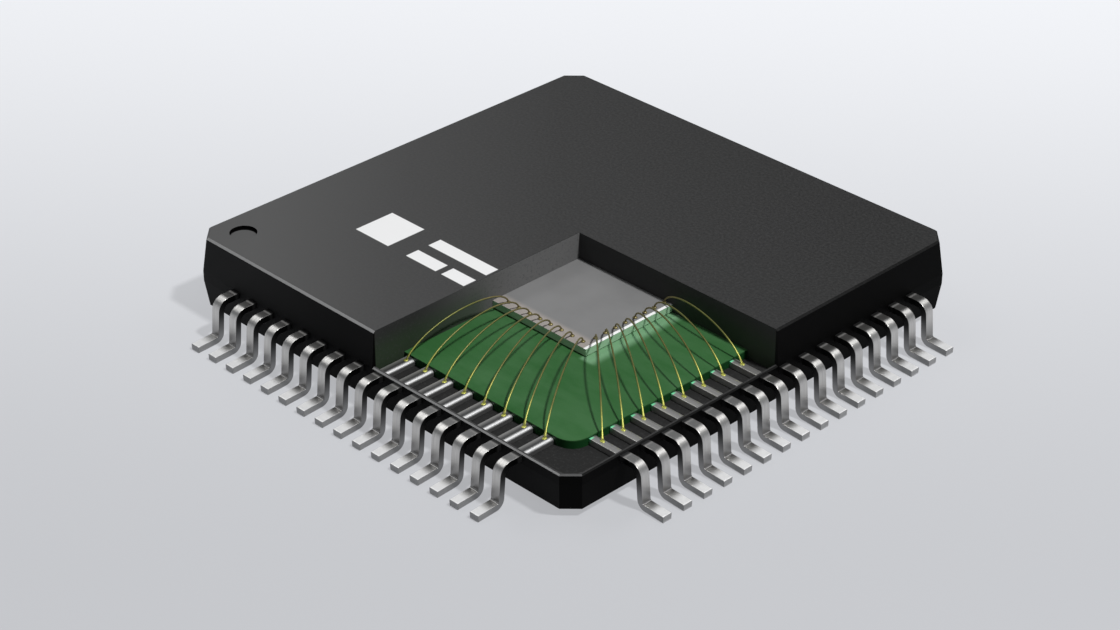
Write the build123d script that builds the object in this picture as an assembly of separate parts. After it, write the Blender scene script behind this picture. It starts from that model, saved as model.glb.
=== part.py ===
from build123d import *
from math import radians, tan
import os

os.makedirs("parts", exist_ok=True)

# A quad flat package with a quarter of its moulding cut away, in millimetres.
# The origin is the package centre on the plane the feet stand on, +Z up.
# Leads are numbered round the body counter-clockwise, sixteen to a side, from the
# corner with the dimple at (-X, -Y). Side 0 faces -Y, side 1 +X, side 2 +Y, side 3 -X.

# leads
leads_per_side = 16
lead_pitch = 0.50
lead_width = 0.20
lead_thickness = 0.125
lead_reach = 1.02
foot_run = 0.533
foot_slope = 3.0
shank_lean = 5.0
shoulder_inner_radius = 0.12
heel_inner_radius = 0.06

# moulded body
body_size = 10.0
stand_off = 0.16
lower_height = 0.53
band_height = 0.21
upper_height = 0.71
draft_in = 0.06
band_corner = 0.27
top_corner = 0.31
top_bevel = 0.035
dimple_inset = 0.68
dimple_diameter = 0.52
dimple_depth = 0.06

# opened quarter: everything at +X of cut_x and -Y of cut_y
cut_x = 0.06
cut_y = 0.12
lip_width = 0.06
lip_bevel = 0.025

# slab under the chip, film and chip
slab_inset_x = 0.725
slab_inset_y = 0.75
slab_thickness = 0.25
slab_corner_radius = 0.36
slab_step = 0.04
film_thickness = 0.02
film_inset = 0.02
die_x = 4.90
die_y = 4.20
die_thickness = 0.14

# gold wires
wire_size = 0.036
ball_diameter = 0.090
ball_height = 0.030
pad_row_margin_x = 0.405
pad_row_margin_y = 0.215
pad_row_shift = 0.18
pad_inset = 0.153
stitch_inset_x = 0.22
stitch_inset_y = 0.13
stitch_diameter = 0.080
stitch_height = 0.014
loop_lift_at_ball = 0.46
loop_lift_at_lead = 0.46
loop_shoulder = 0.78
loop_steps = 7

# fits: the moulding is cast round the metal, so its seats have no clearance
lead_rise = 0.055
cast_clearance = 0.0

# levels and half sizes that follow from the sizes above
body_half = body_size / 2
band_bottom = stand_off + lower_height
band_top = band_bottom + band_height
body_top = band_top + upper_height
floor_level = band_bottom + lead_rise
lead_middle = floor_level + lead_thickness / 2
lead_top = floor_level + lead_thickness
slab_top = lead_top + slab_step
slab_bottom = slab_top - slab_thickness
slab_half_x = body_half - slab_inset_x
slab_half_y = body_half - slab_inset_y
film_top = slab_top + film_thickness
die_top = film_top + die_thickness


def on_side(shape, side):
    """Turn a shape drawn for the -Y side to the given side."""
    return Rot(0, 0, 90 * side) * shape


def lead_offset(index):
    """Distance of a lead from the middle of its side, index 0 to 15."""
    return (index - (leads_per_side - 1) / 2) * lead_pitch


def slab_edge(side):
    """Distance of the slab's edge from the centre on a side."""
    return slab_half_y if side % 2 == 0 else slab_half_x


def cut_square(half, corner, level):
    """A square with cut corners, lying flat at a level."""
    outline = chamfer(Rectangle(2 * half, 2 * half).vertices(), corner)
    return Pos(0, 0, level) * outline


def lead(side, index):
    """One gull-wing lead: flat inside, bent down, bent out again to the foot."""
    toe = body_half + lead_reach
    heel = toe - foot_run
    toe_level = lead_thickness / 2
    heel_level = toe_level + foot_run * tan(radians(foot_slope))
    shoulder = heel - (lead_middle - heel_level) * tan(radians(shank_lean))
    corners = [Vector(shoulder, lead_middle), Vector(heel, heel_level)]
    start = Vector(slab_edge(side), lead_middle)
    end = Vector(toe, toe_level)
    strip = trace(Polyline(start, *corners, end), line_width=lead_thickness)
    # outside of both bends round, inside a short flat that stands for the tight radius
    turns = [90 - shank_lean, 90 - shank_lean - foot_slope]
    radii = [shoulder_inner_radius, heel_inner_radius]
    for number, corner in enumerate(corners):
        pair = strip.vertices().sort_by_distance(corner)[:2].sort_by(Axis.Y)
        inner, outer = (pair[0], pair[1]) if number == 0 else (pair[1], pair[0])
        strip = fillet(outer, radii[number] + lead_thickness)
        inner = strip.vertices().sort_by_distance(inner)[0]
        strip = chamfer(inner, radii[number] * tan(radians(turns[number] / 2)))
    # the profile is drawn flat, then stood up with its length along -Y
    upright = Plane(origin=(0, 0, 0), x_dir=(0, -1, 0), z_dir=(-1, 0, 0))
    bar = extrude(upright * strip, amount=lead_width / 2, both=True)
    return on_side(Pos(lead_offset(index), 0, 0) * bar, side)


def lead_seat(side, index):
    """The room a lead takes up in the moulding, from the slab to outside the wall."""
    inner = slab_edge(side) - cast_clearance
    outer = body_half + lip_width
    seat = Box(
        lead_width + 2 * cast_clearance,
        outer - inner,
        lead_thickness + 2 * cast_clearance,
    )
    middle = (inner + outer) / 2
    return on_side(Pos(lead_offset(index), -middle, lead_middle) * seat, side)


def slab():
    """Green slab that carries the chip and meets the inner ends of the leads."""
    outline = Rectangle(2 * slab_half_x, 2 * slab_half_y)
    outline = fillet(outline.vertices(), slab_corner_radius)
    return extrude(Pos(0, 0, slab_bottom) * outline, amount=slab_thickness)


def film():
    """Thin bonding film, set back a little under the chip on it."""
    sheet = Box(die_x - 2 * film_inset, die_y - 2 * film_inset, film_thickness)
    return Pos(0, 0, slab_top + film_thickness / 2) * sheet


def die():
    """The silicon chip."""
    return Pos(0, 0, film_top + die_thickness / 2) * Box(die_x, die_y, die_thickness)


def pad_point(side, index):
    """Where a wire leaves the chip, for the -Y side before turning."""
    row = die_x - 2 * pad_row_margin_x if side % 2 == 0 else die_y - 2 * pad_row_margin_y
    edge = die_y / 2 if side % 2 == 0 else die_x / 2
    along = (index / (leads_per_side - 1) - 0.5) * row + pad_row_shift
    return Vector(along, -(edge - pad_inset), 0)


def stitch_point(side, index):
    """Where a wire lands on its lead, for the -Y side before turning."""
    inset = stitch_inset_y if side % 2 == 0 else stitch_inset_x
    return Vector(lead_offset(index), -(slab_edge(side) + inset), 0)


def disc(diameter, height, point, level):
    """A small flat disc with six sides, standing on a level."""
    outline = Pos(point.X, point.Y, level) * RegularPolygon(diameter / 2, 6)
    return extrude(outline, amount=height)


def bond_wire(side, index):
    """Gold wire: a ball on the chip, a loop, and a stitch on the lead."""
    start = pad_point(side, index)
    end = stitch_point(side, index)
    run = end - start
    rise = Vector(0, 0, 1)
    low = start + rise * (die_top + ball_height / 2)
    lifted = start + run * 0.05 + rise * (die_top + loop_lift_at_ball)
    shoulder = start + run * loop_shoulder + rise * (die_top + loop_lift_at_lead)
    landing = end + rise * (lead_top - wire_size / 2)
    curve = Bezier(low, lifted, shoulder, landing)
    loop = Polyline(*[curve @ (step / loop_steps) for step in range(loop_steps + 1)])
    flat = Plane(origin=loop @ 0, x_dir=run.cross(rise), z_dir=loop % 0)
    section = flat * RegularPolygon(wire_size / 2, 6)
    strand = sweep(section, path=loop, transition=Transition.RIGHT)
    strand = split(strand, bisect_by=Plane.XY.offset(lead_top), keep=Keep.TOP)
    ball = disc(ball_diameter, ball_height, start, die_top)
    stitch = disc(stitch_diameter, stitch_height, end, lead_top)
    return on_side(strand + ball + stitch, side)


def moulded_block():
    """The closed body: two drafted halves and a straight band between them."""
    bottom = cut_square(body_half - draft_in, band_corner, stand_off)
    low_rim = cut_square(body_half, band_corner, band_bottom)
    high_rim = cut_square(body_half, band_corner, band_top)
    top = cut_square(body_half - draft_in, top_corner, body_top)
    block = loft([bottom, low_rim], ruled=True)
    block += extrude(low_rim, amount=band_height)
    block += loft([high_rim, top], ruled=True)
    block = chamfer(block.faces().sort_by(Axis.Z)[-1].edges(), top_bevel)
    spot = -(body_half - dimple_inset)
    dimple = Cylinder(dimple_diameter / 2, 2 * dimple_depth)
    return block - Pos(spot, spot, body_top) * dimple


def opened_quarter():
    """Room of the opened quarter: all above the rim, and the pocket inside the lip."""
    reach = 2 * body_half
    above = Box(reach, reach, reach, align=(Align.MIN, Align.MAX, Align.MIN))
    quarter = Pos(cut_x, cut_y, floor_level) * above
    inside = cut_square(body_half - lip_width, band_corner, floor_level)
    pocket = extrude(inside, amount=band_top - floor_level) & quarter
    # the outer top edge of the lip is broken by a small bevel
    crown = extrude(cut_square(body_half, band_corner, band_top), amount=-band_height)
    core = chamfer(crown.faces().sort_by(Axis.Z)[-1].edges(), lip_bevel)
    edge = (crown - core) & quarter
    return pocket + edge + Pos(cut_x, cut_y, band_top) * above


def encapsulation(contents):
    """The moulding with its opened quarter and the seats of what is cast into it."""
    block = moulded_block() - opened_quarter()
    seats = [lead_seat(side, index) for side in range(4) for index in range(leads_per_side)]
    for piece in contents:
        block = block - piece
    return block - seats


slab_part = slab()
film_part = film()
die_part = die()
export_step(encapsulation([slab_part, film_part, die_part]), "parts/encapsulation.step")
export_step(slab_part, "parts/carrier_slab.step")
export_step(film_part, "parts/die_attach_film.step")
export_step(die_part, "parts/die.step")

# the sixteen leads and wires of the opened quarter are pieces of their own,
# the leads under the closed moulding are grouped by half sides
half_side = leads_per_side // 2
for half in range(8):
    side = half // 2
    first = (half % 2) * half_side
    number = side * leads_per_side + first + 1
    row = range(first, first + half_side)
    if half in (1, 2):
        for index in row:
            name = f"{side * leads_per_side + index + 1:02d}"
            export_step(lead(side, index), f"parts/lead_{name}.step")
            export_step(bond_wire(side, index), f"parts/bond_wire_{name}.step")
    else:
        group = Compound(children=[lead(side, index) for index in row])
        name = f"{number:02d}_{number + half_side - 1:02d}"
        export_step(group, f"parts/leads_{name}.step")
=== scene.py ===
# %% [markdown]
# This lesson dresses a cutaway chip package. The solids come ready made from the frame:
# a black moulding with one quarter opened, a green slab, a grey chip, 64 bent leads and
# sixteen gold wires. Here they get their finishes, the fine shapes that the solids only
# sketch, a floor, soft light and a camera.

# %% Load the frame
import math

import bpy
import numpy as np
from mathutils import Matrix, Vector


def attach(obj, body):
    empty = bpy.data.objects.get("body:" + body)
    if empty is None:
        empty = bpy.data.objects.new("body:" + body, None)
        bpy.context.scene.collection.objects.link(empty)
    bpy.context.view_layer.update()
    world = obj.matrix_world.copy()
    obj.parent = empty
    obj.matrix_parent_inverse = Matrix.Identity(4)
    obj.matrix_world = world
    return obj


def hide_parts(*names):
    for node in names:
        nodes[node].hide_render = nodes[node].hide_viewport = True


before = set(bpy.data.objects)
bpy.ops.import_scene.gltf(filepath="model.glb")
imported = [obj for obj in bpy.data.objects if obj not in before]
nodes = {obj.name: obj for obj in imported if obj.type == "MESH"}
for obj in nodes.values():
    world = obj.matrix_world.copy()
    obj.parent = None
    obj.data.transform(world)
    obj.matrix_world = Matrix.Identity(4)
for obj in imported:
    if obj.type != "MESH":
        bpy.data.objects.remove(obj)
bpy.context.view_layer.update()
MM = 0.001

# %% [markdown]
# The finishes and the finer shapes have to fall in the right places, so the sizes of the
# solids are named again here, in millimetres. The origin is the middle of the package, on
# the plane the feet stand on. Leads are numbered counter-clockwise, sixteen to a side;
# side 0 faces -Y, side 1 +X, side 2 +Y and side 3 -X.

# %% Sizes of the package
# moulding: half its width at the band, and its top
BODY_HALF, BODY_TOP = 5.0, 1.61
# the opened quarter: its two cut walls, its floor, and the thin lip that borders it;
# on the lip's cut corner x - y is LIP_CORNER
CUT_X, CUT_Y = 0.06, 0.12
POCKET_FLOOR = 0.745
LIP_INSIDE, LIP_CORNER = 4.94, 9.66
# the dimple's middle is this far from both middle planes
DIMPLE = 4.32
# slab: the distance of its edge on each side, and its top; chip: half sizes and top
SLAB_EDGE, SLAB_TOP = (4.25, 4.275, 4.25, 4.275), 0.91
DIE_X, DIE_Y, DIE_TOP = 2.45, 2.10, 1.07
# leads: their number, their strip, and how far they reach out of the moulding
PER_SIDE = 16
PITCH, WIDTH, THICK, REACH = 0.50, 0.20, 0.125, 1.02
LEAD_MIDDLE = 0.8075
LEAD_TOP = LEAD_MIDDLE + THICK / 2
TOE = BODY_HALF + REACH
print("leads:", 4 * PER_SIDE, "toes at", TOE, "mm from the middle")

# %% [markdown]
# Every finish is a small network of nodes. To keep the cells short we first write helpers:
# one makes a material with its shader, one adds a node, and a few build patterns.

# %% Helpers: nodes and arithmetic
def new_material(name, roughness=0.5, metallic=0.0, specular=0.5):
    """A material with one principled shader; values that are even all over sit on its sockets."""
    material = bpy.data.materials.new(name)
    material.use_nodes = True
    shader = material.node_tree.nodes["Principled BSDF"]
    shader.inputs["Roughness"].default_value = roughness
    shader.inputs["Metallic"].default_value = metallic
    shader.inputs["Specular IOR Level"].default_value = specular
    return material, material.node_tree, shader


def add(tree, kind, **values):
    """Adds a node; values name either its settings or its input sockets."""
    node = tree.nodes.new(kind)
    for key, value in values.items():
        if hasattr(node, key):
            setattr(node, key, value)
        else:
            node.inputs[key.replace("_", " ")].default_value = value
    return node


def plug(tree, value, socket):
    """Puts a number, a colour or another socket into a socket."""
    if isinstance(value, bpy.types.NodeSocket):
        tree.links.new(value, socket)
    elif isinstance(value, tuple):
        socket.default_value = (*value, 1.0)
    else:
        socket.default_value = value


def calc(tree, operation, first, second=0.0, third=0.0, clamp=False):
    """One step of arithmetic on numbers or sockets."""
    node = add(tree, "ShaderNodeMath", operation=operation, use_clamp=clamp)
    for socket, value in zip(node.inputs, (first, second, third)):
        plug(tree, value, socket)
    return node.outputs[0]


def product(tree, first, *others):
    """All the values multiplied."""
    for other in others:
        first = calc(tree, "MULTIPLY", first, other)
    return first


def mix(tree, amount, first, second):
    """Goes from the first grey or colour to the second as amount goes from 0 to 1."""
    node = add(tree, "ShaderNodeMix", data_type="RGBA")
    colours = [(c, c, c) if isinstance(c, float) else c for c in (first, second)]
    plug(tree, amount, node.inputs["Factor"])
    # the node has sockets for each type of data; these are the ones for colours
    plug(tree, colours[0], node.inputs[6])
    plug(tree, colours[1], node.inputs[7])
    return node.outputs[2]


def step(tree, value, start, end):
    """0 below start, 1 above end, smooth between; turned round where end is below start."""
    node = add(tree, "ShaderNodeMapRange", interpolation_type="SMOOTHSTEP")
    plug(tree, value, node.inputs["Value"])
    node.inputs["From Min"].default_value = min(start, end)
    node.inputs["From Max"].default_value = max(start, end)
    node.inputs["To Min"].default_value = 0.0 if start < end else 1.0
    node.inputs["To Max"].default_value = 1.0 if start < end else 0.0
    return node.outputs["Result"]


def within(tree, value, low, high, soft=0.01):
    """1 where the value lies between low and high, 0 outside, with soft edges."""
    rise = step(tree, value, low - soft, low + soft)
    fall = step(tree, value, high + soft, high - soft)
    return product(tree, rise, fall)


# %% [markdown]
# The other helpers tell where on the object a point lies and which way its face looks,
# make clouds and ramps of colour, and hand a finished material to the solids.

# %% Helpers: places, patterns and paint
def split_up(tree, vector):
    """The X, Y and Z of a vector as three sockets."""
    split = add(tree, "ShaderNodeSeparateXYZ")
    tree.links.new(vector, split.inputs[0])
    return split.outputs


def place(tree):
    """X, Y and Z of the point on the object, in millimetres."""
    source = add(tree, "ShaderNodeTexCoord")
    scaled = add(tree, "ShaderNodeVectorMath", operation="SCALE", Scale=1 / MM)
    tree.links.new(source.outputs["Object"], scaled.inputs[0])
    return split_up(tree, scaled.outputs[0])


def facing(tree):
    """The direction the face looks to, as three sockets."""
    return split_up(tree, add(tree, "ShaderNodeNewGeometry").outputs["True Normal"])


def noise(tree, scale, detail=3.0, roughness=0.55, stretch=None):
    """Noise on the object's own coordinates, its scale in blobs per millimetre."""
    source = add(tree, "ShaderNodeTexCoord")
    cloud = add(tree, "ShaderNodeTexNoise", Scale=scale / MM, Detail=detail, Roughness=roughness)
    vector = source.outputs["Object"]
    if stretch:
        pull = add(tree, "ShaderNodeVectorMath", operation="MULTIPLY")
        tree.links.new(vector, pull.inputs[0])
        pull.inputs[1].default_value = stretch
        vector = pull.outputs[0]
    tree.links.new(vector, cloud.inputs["Vector"])
    return cloud.outputs["Fac"]


def ramp(tree, value, stops):
    """A colour ramp from (position, grey or colour) stops."""
    node = add(tree, "ShaderNodeValToRGB")
    band = node.color_ramp
    while len(band.elements) < len(stops):
        band.elements.new(0.5)
    for element, (position, colour) in zip(band.elements, stops):
        element.position = position
        rgb = colour if isinstance(colour, tuple) else (colour, colour, colour)
        element.color = (*rgb, 1.0)
    tree.links.new(value, node.inputs["Fac"])
    return node.outputs["Color"]


def bump(tree, height, shader, depth, strength):
    """Grain that catches the light; depth is its height in millimetres."""
    node = add(tree, "ShaderNodeBump", Strength=strength, Distance=depth * MM)
    tree.links.new(height, node.inputs["Height"])
    tree.links.new(node.outputs["Normal"], shader.inputs["Normal"])


def paint(names, material):
    """Gives a material to CAD nodes by name."""
    for name in names:
        mesh = nodes[name].data
        mesh.materials.clear()
        mesh.materials.append(material)
    print(material.name, "on", len(names), "nodes")


# %% [markdown]
# The moulding is epoxy full of silica dust. Its top is matt and dark grey with a fine
# speckle, painted paler to the left of the picture as a painted sheen. Its sides are painted
# darker than the top as painted shade, the right-hand ones nearly black. A plain mark stands
# where a real package carries its print: a square, and two rows that the opening cuts short.

# %% Black moulding: outside
# painted sheen: these tones paint the top paler towards the left of the picture
TOP_TONES_WITH_PAINTED_SHEEN = [(0.04, 0.104), (0.25, 0.067), (0.48, 0.044), (0.69, 0.035), (0.96, 0.026)]
# low x, high x, low y and high y of the square and of the three bars
MARKS = (
    (-2.95, -2.05, -2.75, -1.85),
    (-1.55, 0.0, -2.20, -1.90),
    (-1.55, -0.75, -2.75, -2.45),
    (-0.60, 0.0, -2.75, -2.45),
)
# the shadow in the dimple is a ring round a middle moved this far along +X and -Y
DIMPLE_SHIFT = 0.035
DIMPLE_RING = (0.25, 0.40)


def outside_colour_and_painted_light(tree, x, y, ny, nz, speck):
    """The speckled top with its painted sheen, and the sides in painted shade."""
    across = calc(tree, "MULTIPLY_ADD", calc(tree, "ADD", x, y), 1 / 18, 0.5)
    top = ramp(tree, across, TOP_TONES_WITH_PAINTED_SHEEN)
    top = mix(tree, product(tree, step(tree, speck, 0.35, 0.7), 0.30), top, 0.10)
    # painted shade: the -Y side darker towards the right, the other sides nearly black
    left = mix(tree, step(tree, x, -3.6, -0.5), 0.026, 0.011)
    side = mix(tree, step(tree, ny, -0.95, -0.72), left, 0.002)
    return mix(tree, step(tree, nz, 0.6, 0.95), side, top)


def printed(tree, x, y, z):
    """1 where the plain mark is printed on the top."""
    total = 0.0
    for low_x, high_x, low_y, high_y in MARKS:
        mark = product(tree, within(tree, x, low_x, high_x), within(tree, y, low_y, high_y))
        total = calc(tree, "ADD", total, mark, clamp=True)
    return product(tree, total, step(tree, z, BODY_TOP - 0.01, BODY_TOP - 0.002))


def dimple_shadow(tree, x, y, z):
    """1 on the far side of the dimple, which lies in its own shadow."""
    from_x = calc(tree, "SUBTRACT", x, -DIMPLE + DIMPLE_SHIFT)
    from_y = calc(tree, "SUBTRACT", y, -DIMPLE - DIMPLE_SHIFT)
    squares = [calc(tree, "POWER", value, 2.0) for value in (from_x, from_y)]
    apart = calc(tree, "SQRT", calc(tree, "ADD", *squares))
    ring = within(tree, apart, *DIMPLE_RING, 0.008)
    return product(tree, ring, within(tree, z, BODY_TOP - 0.07, BODY_TOP - 0.007, 0.003))


# %% [markdown]
# The faces of the opened quarter are cut, so their filler grains show. The wall on the
# left is painted paler towards the chip as painted light, and the other wall and the floor
# get darker tones as painted shade. The bevels of the top and of the lip that face the
# left carry a painted highlight.

# %% Black moulding: cut faces and the whole finish
def opened(tree, x, y, z):
    """1 on the cut walls and on the floor between them and the lip."""
    return product(
        tree,
        step(tree, x, CUT_X - 0.01, CUT_X - 0.003),
        step(tree, x, LIP_INSIDE - 0.01, LIP_INSIDE - 0.03),
        step(tree, y, CUT_Y + 0.01, CUT_Y + 0.003),
        step(tree, y, -LIP_INSIDE + 0.01, -LIP_INSIDE + 0.03),
        step(tree, z, BODY_TOP + 0.01, BODY_TOP - 0.0005),
        step(tree, z, POCKET_FLOOR - 0.005, POCKET_FLOOR - 0.001),
        step(tree, calc(tree, "SUBTRACT", x, y), LIP_CORNER + 0.02, LIP_CORNER - 0.02),
    )


def cut_colour(tree, x, y, z, nx, nz):
    """The two cut walls and the cut floor, with grains, and tones by facing that are painted
    light and painted shade.
    """
    # painted light: the long wall is paler towards the chip; the other wall and the floor get
    # their own tones as painted shade
    long_wall_painted_light = mix(tree, step(tree, y, -4.2, -1.2), 0.034, 0.160)
    cut = mix(tree, step(tree, nx, 0.4, 0.8), 0.055, long_wall_painted_light)
    # painted reflection: the green of the slab is painted on the low parts of the walls beyond
    # the chip
    past_x, past_y = calc(tree, "SUBTRACT", x, DIE_X), calc(tree, "SUBTRACT", -DIE_Y, y)
    beyond = calc(tree, "MAXIMUM", past_x, past_y)
    painted_green_reflection = product(tree, step(tree, beyond, 0.0, 0.5), step(tree, z, 1.60, 1.10), 0.45)
    cut = mix(tree, painted_green_reflection, cut, (0.032, 0.068, 0.026))
    cut = mix(tree, step(tree, nz, 0.4, 0.8), cut, 0.024)
    grains = noise(tree, 20.0, 3.0, 0.7)
    return mix(tree, product(tree, step(tree, grains, 0.5, 0.75), 0.5), cut, 0.06)


def moulding_material():
    """Colour from the face's direction and place, and a fine grain."""
    material, tree, shader = new_material("moulded_epoxy", roughness=0.60, specular=0.03)
    x, y, z = place(tree)
    nx, ny, nz = facing(tree)
    speck = noise(tree, 18.0, 5.0, 0.8)
    colour = outside_colour_and_painted_light(tree, x, y, ny, nz, speck)
    colour = mix(tree, opened(tree, x, y, z), colour, cut_colour(tree, x, y, z, nx, nz))
    # painted highlight on the bevels that face the left and up: there -ny times nz is 0.5
    painted_bevel_highlight = calc(tree, "MULTIPLY", product(tree, ny, nz), -2.0, clamp=True)
    colour = mix(tree, calc(tree, "POWER", painted_bevel_highlight, 3.0), colour, 0.30)
    colour = mix(tree, printed(tree, x, y, z), colour, 0.86)
    colour = mix(tree, dimple_shadow(tree, x, y, z), colour, 0.002)
    tree.links.new(colour, shader.inputs["Base Color"])
    bump(tree, speck, shader, 0.004, 0.5)
    return material


paint(["encapsulation"], moulding_material())

# %% [markdown]
# The slab is green laminate with soft streaks, and its sides are painted darker as painted
# shade. A pale stripe painted on it along the bright side of the chip is a painted
# reflection of that side. The chip is lapped silicon: satin grey on top, with a lighter
# border along the pads on the left, a painted highlight along its edge on the right, and
# sides painted green as a painted reflection of the slab.

# %% Green slab, film and chip
def green_material():
    """Green with soft streaks, a painted reflection of the chip beside it on the right, and sides
    in painted shade.
    """
    material, tree, shader = new_material("green_laminate", roughness=0.22, specular=0.20)
    x, y, z = place(tree)
    streaks = noise(tree, 0.5, 4.0, 0.6, (1.0, 3.0, 1.0))
    colour = ramp(tree, streaks, [(0.35, (0.028, 0.112, 0.030)), (0.65, (0.050, 0.145, 0.052))])
    # painted reflection of the chip's bright side: a pale stripe on the slab
    painted_die_reflection = product(
        tree,
        step(tree, x, DIE_X + 0.36, DIE_X + 0.14),
        step(tree, x, DIE_X - 0.1, DIE_X),
        within(tree, y, -DIE_Y - 0.10, 0.5, 0.05),
        0.75,
    )
    colour = mix(tree, painted_die_reflection, colour, (0.22, 0.42, 0.24))
    # painted shade: the slab's sides below its top are darker
    rim = step(tree, z, SLAB_TOP - 0.005, SLAB_TOP - 0.03)
    colour = mix(tree, rim, colour, (0.010, 0.060, 0.016))
    tree.links.new(colour, shader.inputs["Base Color"])
    return material


def silicon_material():
    """Satin grey, with a painted highlight along the right edge of the top; the sides are painted
    green as a painted reflection of the slab.
    """
    material, tree, shader = new_material("silicon", roughness=0.60, specular=0.08)
    x, y, _ = place(tree)
    nx, _, nz = facing(tree)
    top = mix(tree, step(tree, noise(tree, 0.8), 0.3, 0.7), 0.195, 0.22)
    top = mix(tree, step(tree, y, -DIE_Y + 0.36, -DIE_Y + 0.20), top, (0.34, 0.31, 0.29))
    # painted highlight along the top's right edge
    top = mix(tree, step(tree, x, DIE_X - 0.075, DIE_X - 0.055), top, 0.95)
    # painted reflection: the sides are painted in the green of the slab
    side = mix(tree, step(tree, nx, 0.4, 0.6), (0.46, 0.66, 0.45), (0.37, 0.60, 0.39))
    colour = mix(tree, step(tree, nz, 0.4, 0.6), side, top)
    tree.links.new(colour, shader.inputs["Base Color"])
    return material


def film_material():
    """Cured bonding film: dark green, and painted pale on its +X side as painted light under the
    chip's lit side.
    """
    material, tree, shader = new_material("bonding_film")
    dark = ramp(tree, noise(tree, 3.0), [(0.3, (0.02, 0.07, 0.03)), (0.7, (0.03, 0.09, 0.04))])
    # painted light: the side facing +X is painted pale
    colour = mix(tree, step(tree, facing(tree)[0], 0.4, 0.6), dark, (0.46, 0.66, 0.47))
    tree.links.new(colour, shader.inputs["Base Color"])
    return material


paint(["carrier_slab"], green_material())
paint(["die"], silicon_material())
paint(["die_attach_film"], film_material())

# %% [markdown]
# The leads are stamped from copper strip, bent over a die and plated with matt tin. The
# solids have plain square strips whose inner bends are flat; here each lead is swept
# again with soft long edges, a wide shoulder and a tight fold at the foot. First comes
# its line in side view, where columns are the distance from the package's middle and the
# height.

# %% Line of a lead
FOOT_RUN, FOOT_SLOPE, LEAN = 0.533, math.radians(3.0), math.radians(5.0)
# radii of the shoulder and of the heel, on the strip's top line and on its low line
TOP_RADII, LOW_RADII = (0.245, 0.035), (0.120, 0.190)
# where the flat inner part has rings: three at its tip, four where it meets the wall
INNER_RINGS = np.array([0.0, 0.02, 0.04, 0.62, 0.68, 0.74, 0.80])
# one more ring this far before and after each bend, and before the toe, keeps flats flat
BEND_GAP, TOE_GAP = 0.012, 0.03


def left_of(direction):
    """The direction a quarter turn to the left."""
    return np.array([-direction[1], direction[0]])


def bend(corner, before, after, radius, count=15):
    """Points of the arc that rounds a corner between two directions.
    The arc starts radius * tan(half the turn) before the corner."""
    turn = math.atan2(before[0] * after[1] - before[1] * after[0], before @ after)
    start = corner - before * radius * math.tan(abs(turn) / 2)
    arm = -math.copysign(1.0, turn) * left_of(before) * radius
    angle = np.linspace(0.0, turn, count)[:, None]
    turned = np.cos(angle) * arm + np.sin(angle) * left_of(arm)
    return start - arm + turned


def lead_line(offset, inner_end, radii):
    """One long line of the strip in side view, offset from its middle line. Each corner of
    the middle line moves by offset * (sum of the two left directions) / (1 + their dot
    product), which keeps the line parallel; then an arc rounds it."""
    toe = np.array([TOE, THICK / 2])
    heel = toe + [-FOOT_RUN, FOOT_RUN * math.tan(FOOT_SLOPE)]
    shoulder = np.array([heel[0] - (LEAD_MIDDLE - heel[1]) * math.tan(LEAN), LEAD_MIDDLE])
    ways = [
        np.array([1.0, 0.0]),
        np.array([math.sin(LEAN), -math.cos(LEAN)]),
        np.array([math.cos(FOOT_SLOPE), -math.sin(FOOT_SLOPE)]),
    ]
    inner = inner_end + INNER_RINGS
    line = [np.column_stack([inner, np.full(len(inner), LEAD_MIDDLE + offset)])]
    for corner, one, two, radius in zip((shoulder, heel), ways, ways[1:], radii):
        across = left_of(one) + left_of(two)
        moved = corner + offset * across / (1 + left_of(one) @ left_of(two))
        arc = bend(moved, one, two, radius)
        line += [arc[0] - BEND_GAP * one, arc, arc[-1] + BEND_GAP * two]
    last = toe + offset * left_of(ways[2])
    return np.vstack([*line, last - TOE_GAP * ways[2], last])


line = lead_line(THICK / 2, SLAB_EDGE[0], TOP_RADII)
print("points on the top line of a lead:", len(line), "highest at", line[:, 1].max(), "mm")

# %% [markdown]
# The line is then given a section, and the two make a grid of points: one direction runs
# along the strip, the other round it. Four-sided faces join the points.

# %% Section and mesh of a lead
# the rolled-over edge of the inner part, and the arc and holding points of the others
ROLL_WIDE, ROLL_DEEP = 0.085, 0.048
EDGE_RADIUS, HOLD, ARC_POINTS = 0.008, 0.006, 6


def section(rolled, half, height):
    """Rows of (across, up) round a rectangle with rounded corners, one row per ring.
    Each corner is an arc of six points, with one more point at each end of it that holds
    the flat sides. Where rolled goes to 1, the stamping die has rolled over the right
    upper corner: its arc turns into a slanting face, which bulges out by a quarter of
    (sine + cosine - 1)."""
    quarter = np.linspace(0.0, math.pi / 2, ARC_POINTS)
    across, up = [], []
    for number, (sx, sy) in enumerate(((1, 0), (1, 1), (-1, 1), (-1, 0))):
        angle = quarter + (number - 1) * math.pi / 2
        middle_x = sx * (half - EDGE_RADIUS)
        middle_y = EDGE_RADIUS + sy * (height - 2 * EDGE_RADIUS)
        arc_x = np.tile(middle_x + EDGE_RADIUS * np.cos(angle), (len(rolled), 1))
        arc_y = np.tile(middle_y + EDGE_RADIUS * np.sin(angle), (len(rolled), 1))
        if (sx, sy) == (1, 1):
            share = np.linspace(0.0, 1.0, ARC_POINTS)
            bulge = 0.25 * (np.sin(quarter) + np.cos(quarter) - 1)
            arc_x += rolled[:, None] * (half - ROLL_WIDE * (share - bulge) - arc_x)
            arc_y += rolled[:, None] * (height - ROLL_DEEP * (1 - share - bulge) - arc_y)
        before, after = angle[0] - math.pi / 2, angle[-1] + math.pi / 2
        for rows, arc, turn in ((across, arc_x, math.cos), (up, arc_y, math.sin)):
            rows += [arc[:, :1] + HOLD * turn(before), arc, arc[:, -1:] + HOLD * turn(after)]
    return np.hstack(across), np.hstack(up)


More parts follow.
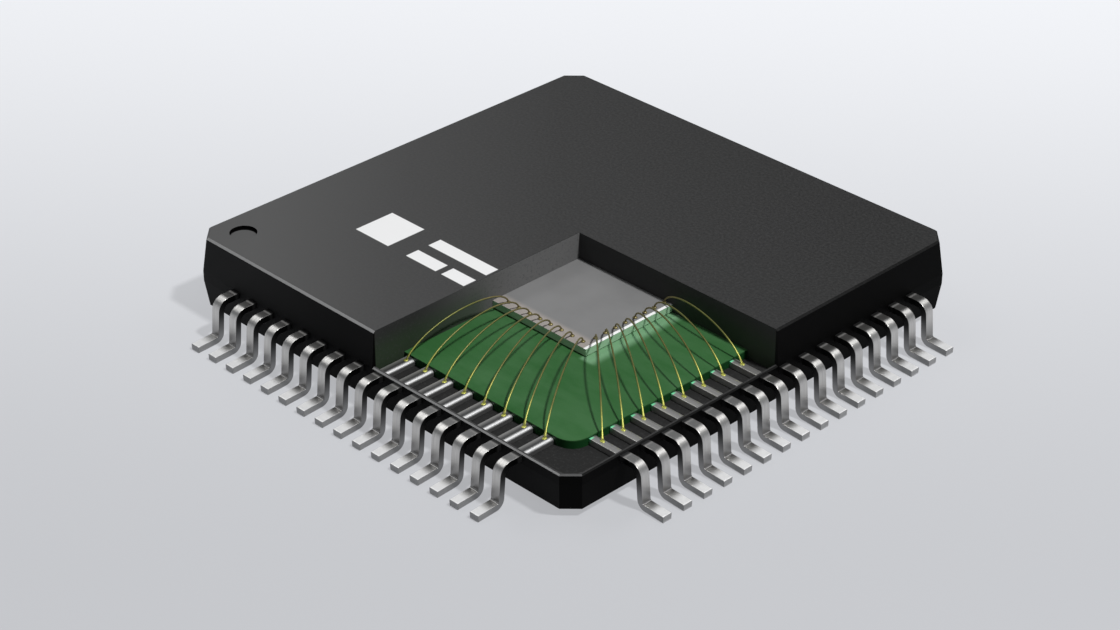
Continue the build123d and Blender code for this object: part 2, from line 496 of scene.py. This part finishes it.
def mesh_from_rings(name, grids, uv=None):
    """One object from a list of grids of points. Each grid is rings times points round,
    and is closed at its two ends."""
    verts, faces = [], []
    start = 0
    for grid in grids:
        count, around = grid.shape[:2]
        index = start + np.arange(count * around).reshape(count, around)
        turned = np.roll(index, -1, axis=1)
        quads = np.stack([index[:-1], turned[:-1], turned[1:], index[1:]], axis=-1)
        faces += quads.reshape(-1, 4).tolist()
        faces += [index[0][::-1].tolist(), index[-1].tolist()]
        verts.append(grid.reshape(-1, 3))
        start += count * around
    mesh = bpy.data.meshes.new(name)
    mesh.from_pydata((np.vstack(verts) * MM).tolist(), [], faces)
    mesh.polygons.foreach_set("use_smooth", [len(face) == 4 for face in faces])
    if uv is not None:
        layer = mesh.uv_layers.new(name="along")
        corner = np.empty(len(mesh.loops), dtype=np.int32)
        mesh.loops.foreach_get("vertex_index", corner)
        layer.data.foreach_set("uv", uv[corner].astype(np.float32).ravel())
    mesh.update()
    piece = bpy.data.objects.new(name, mesh)
    bpy.context.scene.collection.objects.link(piece)
    return piece


def turned_to_side(points, side):
    """Points drawn for the -Y side, turned to side 1, 2 or 3 by quarter turns."""
    cos, sin = math.cos(side * math.pi / 2), math.sin(side * math.pi / 2)
    return points @ np.array([[cos, sin, 0], [-sin, cos, 0], [0, 0, 1]])


def row_place(index):
    """Distance of a lead from the middle of its side, index 0 to 15."""
    return (index - (PER_SIDE - 1) / 2) * PITCH


def lead_rings(side, index):
    """The rings of one lead and the pattern coordinates of its points. The section's
    height is spread between the low line and the top line; the rolled-over edge fades
    out over 0.06 mm, just before the wall."""
    top = lead_line(THICK / 2, SLAB_EDGE[side], TOP_RADII)
    low = lead_line(-THICK / 2, SLAB_EDGE[side], LOW_RADII)
    rolled = np.clip((BODY_HALF - 0.02 - top[:, 0]) / 0.06, 0, 1)
    across, up = section(rolled, WIDTH / 2, THICK)
    share = (up / THICK)[..., None]
    profile = low[:, None, :] + (top - low)[:, None, :] * share
    points = np.stack([across + row_place(index), -profile[..., 0], profile[..., 1]], axis=-1)
    length = np.concatenate([[0], np.cumsum(np.linalg.norm(np.diff(top, axis=0), axis=1))])
    along = np.repeat(length[:, None], across.shape[1], 1)
    uv = np.stack([across + index + PER_SIDE * side, along], axis=-1)
    return turned_to_side(points, side), uv.reshape(-1, 2)


print("rings and points round a lead:", lead_rings(0, 0)[0].shape[:2])

# %% [markdown]
# Matt tin is a grey metal with faint drawing streaks along the strip. The shank is painted
# darker downwards as painted shade, and the long edges are painted dark as painted shade,
# most of all high up beside the wall. The foot carries painted light that grows whiter
# towards its toe, and the rolled edge of the inner part a painted highlight. Where a lead
# leaves the moulding, a dark band of painted shade lies on it, and the inner tips on the
# right carry a painted reflection of the green slab.

# %% Tin plating
# distance from the package's middle at which the foot's painted light begins
FOOT_FROM = 5.60


def tin_material():
    """Metal with streaks along the strip; the piece's own map tells how far a point is
    across the strip (the part of u beside a whole number) and along it (v)."""
    material, tree, shader = new_material("tin_plating")
    source = add(tree, "ShaderNodeTexCoord")
    pull = add(tree, "ShaderNodeVectorMath", operation="MULTIPLY")
    tree.links.new(source.outputs["UV"], pull.inputs[0])
    pull.inputs[1].default_value = (80.0, 1.2, 1.0)
    streak = add(tree, "ShaderNodeTexNoise", Scale=1.0, Detail=3.0, Roughness=0.5)
    tree.links.new(pull.outputs[0], streak.inputs["Vector"])
    lines = streak.outputs["Fac"]
    signed = calc(tree, "WRAP", split_up(tree, source.outputs["UV"])[0], 0.5, -0.5)
    across = calc(tree, "ABSOLUTE", signed)
    x, y, z = place(tree)
    far = calc(tree, "MAXIMUM", calc(tree, "ABSOLUTE", x), calc(tree, "ABSOLUTE", y))
    outside = step(tree, far, BODY_HALF - 0.02, BODY_HALF + 0.02)
    inner = step(tree, far, BODY_HALF, BODY_HALF - 0.1)
    # broad face: painted shade, darker down the shank; streaks all along
    painted_shank_shade = product(tree, step(tree, z, 0.62, 0.16), step(tree, far, FOOT_FROM, FOOT_FROM - 0.04))
    colour = mix(tree, painted_shank_shade, (0.66, 0.65, 0.63), (0.27, 0.265, 0.26))
    streaks = product(tree, step(tree, lines, 0.3, 0.7), 0.40)
    colour = mix(tree, streaks, colour, (0.36, 0.355, 0.35))
    # inner part: a painted highlight where it rolls over and painted shade on the flat beside it,
    # fainter in the row on the right
    painted_roll_light = mix(tree, within(tree, signed, 0.050, 0.086, 0.030), 0.14, 0.85)
    painted_roll_place = product(
        tree,
        inner,
        step(tree, signed, -0.12, WIDTH / 2 - ROLL_WIDE),
        mix(tree, step(tree, x, 4.1, 3.95), 0.25, 1.0),
    )
    colour = mix(tree, painted_roll_place, colour, painted_roll_light)
    # foot: painted light, whiter towards the toe
    painted_foot_light = product(tree, step(tree, far, FOOT_FROM, FOOT_FROM + 0.26), step(tree, z, 0.25, 0.20))
    colour = mix(tree, painted_foot_light, colour, 0.88)
    # painted shade on the long edges, darkest high up; the end of the toe mid grey
    edge = product(tree, step(tree, across, WIDTH / 2 - 0.0045, WIDTH / 2 - 0.0005), outside)
    colour = mix(tree, edge, colour, mix(tree, step(tree, z, 0.66, 0.10), 0.03, 0.26))
    colour = mix(tree, step(tree, far, TOE - 0.006, TOE - 0.001), colour, 0.30)
    # painted reflection: the inner tips on the right are painted with the green of the slab
    painted_green_tip = product(
        tree,
        within(tree, x, SLAB_EDGE[1] - 0.007, SLAB_EDGE[1] + 0.045, 0.006),
        step(tree, z, LEAD_TOP - 0.07, LEAD_TOP - 0.03),
        step(tree, signed, 0.02, -0.05),
    )
    colour = mix(tree, painted_green_tip, colour, (0.22, 0.85, 0.45))
    # painted shade where the lead leaves the wall
    painted_exit_shade = product(
        tree,
        step(tree, far, BODY_HALF - 0.05, BODY_HALF - 0.03),
        step(tree, far, BODY_HALF + 0.13, BODY_HALF + 0.045),
        step(tree, z, 0.60, 0.66),
    )
    tree.links.new(mix(tree, painted_exit_shade, colour, 0.012), shader.inputs["Base Color"])
    # the foot and the inner part are less of a mirror, the painted green tips and the painted
    # shade at the wall none
    metal = calc(tree, "MULTIPLY_ADD", painted_foot_light, -0.75, 1.0)
    metal = calc(tree, "MULTIPLY_ADD", inner, -0.25, metal)
    for cover in (painted_green_tip, painted_exit_shade):
        metal = product(tree, metal, calc(tree, "SUBTRACT", 1.0, cover))
    tree.links.new(metal, shader.inputs["Metallic"])
    rough = calc(tree, "MULTIPLY_ADD", step(tree, lines, 0.2, 0.8), 0.06, 0.30)
    tree.links.new(rough, shader.inputs["Roughness"])
    return material


tin = tin_material()
print(tin.name, "nodes:", len(tin.node_tree.nodes))

# %% [markdown]
# Leads 9 to 24 lie in the opened quarter and are pieces of their own. The others stand in
# groups of eight, one group to half a side, as the solids do.

# %% The 64 leads
def lead_piece(node, side, indices):
    """Leads that stand for one CAD node."""
    rings, maps = zip(*[lead_rings(side, index) for index in indices])
    piece = mesh_from_rings("fine_" + node, rings, np.vstack(maps))
    piece.data.materials.append(tin)
    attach(piece, "root")
    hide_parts(node)
    return piece


HALF_SIDE = PER_SIDE // 2
OPENED_HALVES = (1, 2)
for half in range(4 * PER_SIDE // HALF_SIDE):
    side, first = half // 2, half % 2 * HALF_SIDE
    row = range(first, first + HALF_SIDE)
    number = side * PER_SIDE + first + 1
    if half in OPENED_HALVES:
        for index in row:
            lead_piece(f"lead_{side * PER_SIDE + index + 1:02d}", side, [index])
    else:
        group = lead_piece(f"leads_{number:02d}_{number + HALF_SIDE - 1:02d}", side, row)
print("faces in a group of eight leads:", len(group.data.polygons))

# %% [markdown]
# A bonding machine melts the end of a gold wire to a ball, presses it on the chip, draws
# the wire up and over in a loop, and wedges it flat on the lead. Each loop follows one
# smooth curve with four guiding points, and the tube round it is a grid again.

# %% Shape of a bond wire
WIRE = 0.032
# the pads' row: margins at its ends, shift along the edge and inset from it; in pairs,
# the first number is for the sides that face along Y and the second for the others
PAD_ROW = (2 * (DIE_X - 0.405), 2 * (DIE_Y - 0.215))
PAD_SHIFT, PAD_INSET = 0.18, 0.153
DIE_EDGE = (DIE_Y, DIE_X)
STITCH_INSET = (0.13, 0.22)
# guiding points of the loop: shares of the way, and their height over the chip
LOOP_SHARES, LOOP_LIFT = (0.05, 0.78), 0.46
# radii and heights of the two cushions
BALL, BALL_HEIGHT = (0.045, 0.045), 0.030
STITCH, STITCH_HEIGHT = (0.040, 0.050), 0.014


def wire_ends(side, index):
    """Where the ball and the stitch lie, for the -Y side before turning."""
    kind = side % 2
    along = (index / (PER_SIDE - 1) - 0.5) * PAD_ROW[kind] + PAD_SHIFT
    start = np.array([along, -(DIE_EDGE[kind] - PAD_INSET), 0.0])
    end = np.array([row_place(index), -(SLAB_EDGE[side] + STITCH_INSET[kind]), 0.0])
    return start, end


def tube(start, end, count=56, around=12):
    """Rings round the loop. The loop is a cubic curve: it leaves the ball upwards, keeps
    its height to about four fifths of the way, then comes down onto the lead. Each ring
    is cosine times a sideways direction plus sine times one across it; the last twentieth
    of the curve is pressed thin and wide onto the lead."""
    run = end - start
    rise = np.array([0.0, 0.0, 1.0])
    guide = np.array([
        start + rise * (DIE_TOP + 0.012),
        start + run * LOOP_SHARES[0] + rise * (DIE_TOP + LOOP_LIFT),
        start + run * LOOP_SHARES[1] + rise * (DIE_TOP + LOOP_LIFT),
        end + rise * (LEAD_TOP + 0.004),
    ])
    t = np.linspace(0.0, 1.0, count)[:, None]
    weights = [(1 - t) ** 3, 3 * t * (1 - t) ** 2, 3 * t**2 * (1 - t), t**3]
    middle = sum(w * g for w, g in zip(weights, guide))
    flow = np.gradient(middle, axis=0)
    flow /= np.linalg.norm(flow, axis=1, keepdims=True)
    aside = np.cross(run, rise)
    aside = np.repeat(aside[None] / np.linalg.norm(aside), count, 0)
    over = np.cross(flow, aside)
    angle = np.linspace(0, 2 * math.pi, around, endpoint=False)[None, :, None]
    thin = np.clip((1 - t) / 0.05, 0.35, 1)[:, None]
    wide = 1 + 0.6 * (1 - thin)
    circle = np.cos(angle) * aside[:, None] * wide + np.sin(angle) * over[:, None] * thin
    return middle[:, None] + circle * WIRE / 2


def blob(point, level, radii, height, count=9, around=24):
    """A low round cushion. As the angle a goes from 0 to a right angle, its width shrinks
    with cosine a to the power 0.7 and its height grows with sine a."""
    lift = np.linspace(0.0, math.pi / 2, count)
    wide = np.cos(lift) ** 0.7
    # the last ring stays open a little, so that its faces keep a size
    wide[-1] = 0.02
    angle = np.linspace(0, 2 * math.pi, around, endpoint=False)
    x = point[0] + radii[0] * wide[:, None] * np.cos(angle)
    y = point[1] + radii[1] * wide[:, None] * np.sin(angle)
    z = np.repeat((level + height * np.sin(lift))[:, None], around, 1)
    return np.stack([x, y, z], axis=-1)


print("wire 9 in mm, from and to:", [end.round(3).tolist() for end in wire_ends(0, 8)])

# %% [markdown]
# The gold's tones are painted reflections of what is round it: brown over the chip, olive
# over the slab and bright where it comes down to the leads. Each wire is a tube, a ball and
# a stitch.

# %% Gold and the sixteen wires
def gold_material():
    """Gold in three tones of painted reflection that follow the distance past the chip's edge."""
    material, tree, shader = new_material("gold", roughness=0.48, metallic=0.75)
    x, y, _ = place(tree)
    # counted from 0.30 mm past the edge on the right and from 0.60 mm past it on the left
    past_x = calc(tree, "SUBTRACT", x, DIE_X + 0.30)
    past_y = calc(tree, "SUBTRACT", -DIE_Y - 0.60, y)
    past = calc(tree, "MAXIMUM", past_x, past_y)
    cloud = noise(tree, 6.0)
    # painted reflections: brown over the chip, olive over the slab, bright near the leads
    painted_brown_reflection = mix(tree, cloud, (0.20, 0.170, 0.075), (0.32, 0.270, 0.12))
    painted_olive_reflection = mix(tree, cloud, (0.135, 0.138, 0.040), (0.22, 0.222, 0.07))
    bright = mix(tree, cloud, (0.46, 0.47, 0.09), (0.67, 0.67, 0.18))
    colour = mix(tree, step(tree, past, -0.35, 0.1), painted_brown_reflection, painted_olive_reflection)
    colour = mix(tree, step(tree, past, 1.15, 1.75), colour, bright)
    tree.links.new(colour, shader.inputs["Base Color"])
    return material


gold = gold_material()
for number in range(9, 25):
    side, index = divmod(number - 1, PER_SIDE)
    start, end = wire_ends(side, index)
    parts = [
        tube(start, end),
        blob(start, DIE_TOP, BALL, BALL_HEIGHT),
        blob(end, LEAD_TOP, STITCH, STITCH_HEIGHT),
    ]
    node = f"bond_wire_{number:02d}"
    piece = mesh_from_rings("fine_" + node, [turned_to_side(grid, side) for grid in parts])
    piece.data.materials.append(gold)
    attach(piece, "root")
    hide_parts(node)
print("faces in a wire:", len(piece.data.polygons))

# %% [markdown]
# The camera stands where the photographer's would: turned 45.5 degrees round the package,
# 31 degrees up, through a long lens so that the square hardly narrows towards the back.

# %% Camera
AZIMUTH = math.radians(45.4875)
ELEVATION = math.radians(30.857)
DISTANCE = 49.84 * MM
LENS, SENSOR = 85.45, 36.0
AIM_RIGHT = -0.2351 * MM
AIM_UP = -0.5537 * MM
AIM_HEIGHT = 0.5000 * MM
back = Vector((
    math.sin(AZIMUTH) * math.cos(ELEVATION),
    -math.cos(AZIMUTH) * math.cos(ELEVATION),
    math.sin(ELEVATION),
))
right = Vector((math.cos(AZIMUTH), math.sin(AZIMUTH), 0.0))
up = back.cross(right)
target = right * AIM_RIGHT + up * AIM_UP + Vector((0, 0, AIM_HEIGHT))
camera = bpy.data.objects.new("camera", bpy.data.cameras.new("camera"))
bpy.context.scene.collection.objects.link(camera)
camera.data.lens = LENS
camera.data.sensor_width = SENSOR
camera.data.clip_start = 1 * MM
camera.data.clip_end = 2.0
eye = target + back * DISTANCE
rows = [(right[i], up[i], back[i], eye[i]) for i in range(3)]
camera.matrix_world = Matrix([*rows, (0, 0, 0, 1)])
bpy.context.scene.camera = camera
print("camera at, in mm:", [round(v / MM, 2) for v in eye])

# %% [markdown]
# The package stands on a pale floor that runs far out on all sides, bends up at its rim
# like a paper backdrop, and gets a little lighter towards the back. To the camera, and in
# mirrors and through glass, more than half of the floor is its own even glow, so that the
# shadow stays faint.

# %% Floor
FLOOR_FRONT, FLOOR_BACK = (0.585, 0.595, 0.622), (0.945, 0.96, 0.995)
GLOW, GLOW_SHARE = 0.97, 0.7


def studio_floor(flat=0.26, bend_radius=0.12, turn=80.0, count=17, around=96):
    """A disc whose rim bends up. At the angle a of the bend the radius is flat plus
    bend_radius times sin a, and the height is bend_radius times 1 minus cos a."""
    angle = np.radians(np.linspace(0.0, turn, count))[:, None]
    way = np.linspace(0.0, 2 * math.pi, around, endpoint=False)
    radius = flat + bend_radius * np.sin(angle)
    height = np.repeat(bend_radius * (1 - np.cos(angle)), around, axis=1)
    grid = np.stack([radius * np.cos(way), radius * np.sin(way), height], axis=-1)
    index = np.arange(count * around).reshape(count, around)
    turned = np.roll(index, -1, axis=1)
    quads = np.stack([index[:-1], index[1:], turned[1:], turned[:-1]], axis=-1)
    faces = [index[0].tolist(), *quads.reshape(-1, 4).tolist()]
    mesh = bpy.data.meshes.new("floor")
    mesh.from_pydata(grid.reshape(-1, 3).tolist(), [], faces)
    mesh.polygons.foreach_set("use_smooth", [len(face) == 4 for face in faces])
    return bpy.data.objects.new("floor", mesh)


def floor_material():
    """A pale floor, part lit and part glowing where camera, mirrors and glass see it."""
    material, tree, shader = new_material("pale_floor", roughness=0.7, specular=0.2)
    x, y, _ = place(tree)
    depth = calc(tree, "SUBTRACT", y, x)
    colour = mix(tree, step(tree, depth, -14.0, 26.0), FLOOR_FRONT, FLOOR_BACK)
    tree.links.new(colour, shader.inputs["Base Color"])
    glow = add(tree, "ShaderNodeEmission", Strength=GLOW)
    tree.links.new(colour, glow.inputs["Color"])
    ray = add(tree, "ShaderNodeLightPath").outputs
    seen = calc(tree, "ADD", ray["Is Camera Ray"], ray["Is Glossy Ray"], clamp=True)
    seen = calc(tree, "ADD", seen, ray["Is Transmission Ray"], clamp=True)
    blend = add(tree, "ShaderNodeMixShader")
    tree.links.new(product(tree, seen, GLOW_SHARE), blend.inputs[0])
    tree.links.new(shader.outputs[0], blend.inputs[1])
    tree.links.new(glow.outputs[0], blend.inputs[2])
    tree.links.new(blend.outputs[0], tree.nodes["Material Output"].inputs["Surface"])
    return material


floor = studio_floor()
bpy.context.scene.collection.objects.link(floor)
floor.data.materials.append(floor_material())
print("faces in the floor:", len(floor.data.polygons))

# %% [markdown]
# A small soft box high on the right throws the shadows of the wires on the slab. Two long
# ones, high on the left and behind, are weaker: their reflections draw the bright bands on
# the bent tin. The sky fills in the rest.

# %% Sky and lamps
SKY_COLOUR = (0.80, 0.83, 0.87)
SKY_STRENGTH, SKY_MIRRORED = 0.125, 0.07

world = bpy.data.worlds.new("studio")
bpy.context.scene.world = world
world.use_nodes = True
sky = world.node_tree
background = sky.nodes["Background"]
plug(sky, SKY_COLOUR, background.inputs["Color"])
# what shines in the metal is a little brighter than what lights the scene
mirrored = add(sky, "ShaderNodeLightPath").outputs["Is Glossy Ray"]
strength = calc(sky, "MULTIPLY_ADD", mirrored, SKY_MIRRORED, SKY_STRENGTH)
sky.links.new(strength, background.inputs["Strength"])


def soft_box(name, place_mm, size, power):
    """A rectangular lamp that faces the package; place and size in millimetres, power in
    watts."""
    lamp = bpy.data.lights.new(name, "AREA")
    lamp.shape = "RECTANGLE"
    lamp.size = size[0] * MM
    lamp.size_y = size[1] * MM
    lamp.energy = power
    holder = bpy.data.objects.new(name, lamp)
    bpy.context.scene.collection.objects.link(holder)
    holder.location = Vector(place_mm) * MM
    holder.rotation_mode = "QUATERNION"
    holder.rotation_quaternion = (-holder.location).to_track_quat("-Z", "Y")
    print("soft box", name, "at", place_mm, "mm")


soft_box("key", (58, 11, 105), (9, 9), 0.119)
soft_box("left", (-68, -10, 90), (95, 32), 0.0190)
soft_box("rear", (12, 75, 88), (60, 30), 0.0105)
bpy.context.scene.view_settings.view_transform = "Standard"
